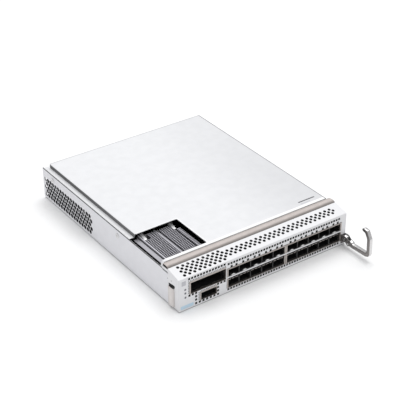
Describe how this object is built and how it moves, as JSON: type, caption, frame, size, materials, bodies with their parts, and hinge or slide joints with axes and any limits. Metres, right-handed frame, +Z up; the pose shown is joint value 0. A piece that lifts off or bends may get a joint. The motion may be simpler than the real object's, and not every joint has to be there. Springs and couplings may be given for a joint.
{
  "type": "muxponder card",
  "caption": "Half-width one-unit transport card with stacked pluggable ports, a wide line port under a riding pin-fin heatsink, a perforated ramp and a pull lever.",
  "frame": {"origin": "centre of the chassis underside that the card rests on, lever left out", "axes": "+X to the right along the front, +Y from the front face to the rear plugs, +Z up"},
  "size_m": [0.2152, 0.3112, 0.0446],
  "materials": {
    "tray_steel": "satin, pale grey",
    "bezel_paint": "satin, off-white",
    "cover_metal": "fine grained, satin",
    "dark_gap_seal": "matte",
    "fabric_seal": "conductive cloth over foam, taupe",
    "side_seal_cloth": "conductive cloth over foam, pale beige",
    "cage_steel": "bright stamped sheet",
    "spring_copper": "plated beryllium copper, satin",
    "connector_black": "moulded, black",
    "heatsink_aluminium": "milled, satin",
    "board_green": "solder mask, green",
    "chip_black": "moulded",
    "screw_steel": "zinc plated",
    "plug_grey": "glass-filled, dark grey",
    "guide_zinc": "die cast",
    "light_pipe_clear": "clear moulded",
    "lever_cast": "bright cast, satin"
  },
  "bodies": {
    "card": {"board_stacking_connector": "connector_black", "cfp2_cage": "cage_steel", "cfp2_connector": "connector_black", "cfp2_emi_lining": "spring_copper", "cfp2_heatsink_clip": "screw_steel", "chassis_tray": "tray_steel", "cover_seal": "dark_gap_seal", "front_bezel": "bezel_paint", "guide_sockets": "guide_zinc", "lever_bracket": "lever_cast", "lever_pin": "screw_steel", "line_board": "board_green", "line_board_posts": "screw_steel", "line_board_screws": "screw_steel", "main_board": "board_green", "main_board_posts": "screw_steel", "main_board_screws": "screw_steel", "power_module": "chip_black", "power_plug": "plug_grey", "processor_heatsinks": "heatsink_aluminium", "processors": "chip_black", "qsfp_cage": "cage_steel", "qsfp_connector": "connector_black", "qsfp_emi_lining": "spring_copper", "sfp_cage_beam_left": "cage_steel", "sfp_cage_beam_right": "cage_steel", "sfp_cage_dividers_left": "cage_steel", "sfp_cage_dividers_right": "cage_steel", "sfp_cage_floor_left": "cage_steel", "sfp_cage_floor_right": "cage_steel", "sfp_cage_left": "cage_steel", "sfp_cage_right": "cage_steel", "sfp_connectors_left": "connector_black", "sfp_connectors_right": "connector_black", "sfp_emi_lining_left": "spring_copper", "sfp_emi_lining_right": "spring_copper", "side_emi_seal": "side_seal_cloth", "side_screws": "screw_steel", "signal_plug": "plug_grey", "status_light_pipes": "light_pipe_clear", "top_cover": "cover_metal", "top_emi_seal": "fabric_seal"},
    "lever": {"lever": "lever_cast"},
    "heatsink": {"cfp2_heatsink": "heatsink_aluminium"}
  },
  "joints": [
    {"name": "lever_hinge", "type": "hinge", "parent": "card", "child": "lever", "pos_m": [0.10325, -0.1386, 0.0105], "axis": [-1, 0, 0], "range_deg": [0, 70]},
    {"name": "heatsink_ride", "type": "slide", "parent": "card", "child": "heatsink", "axis": [0, 0, 1], "range_m": [0, 0.0005], "stiffness_N_per_m": 20000}
  ]
}
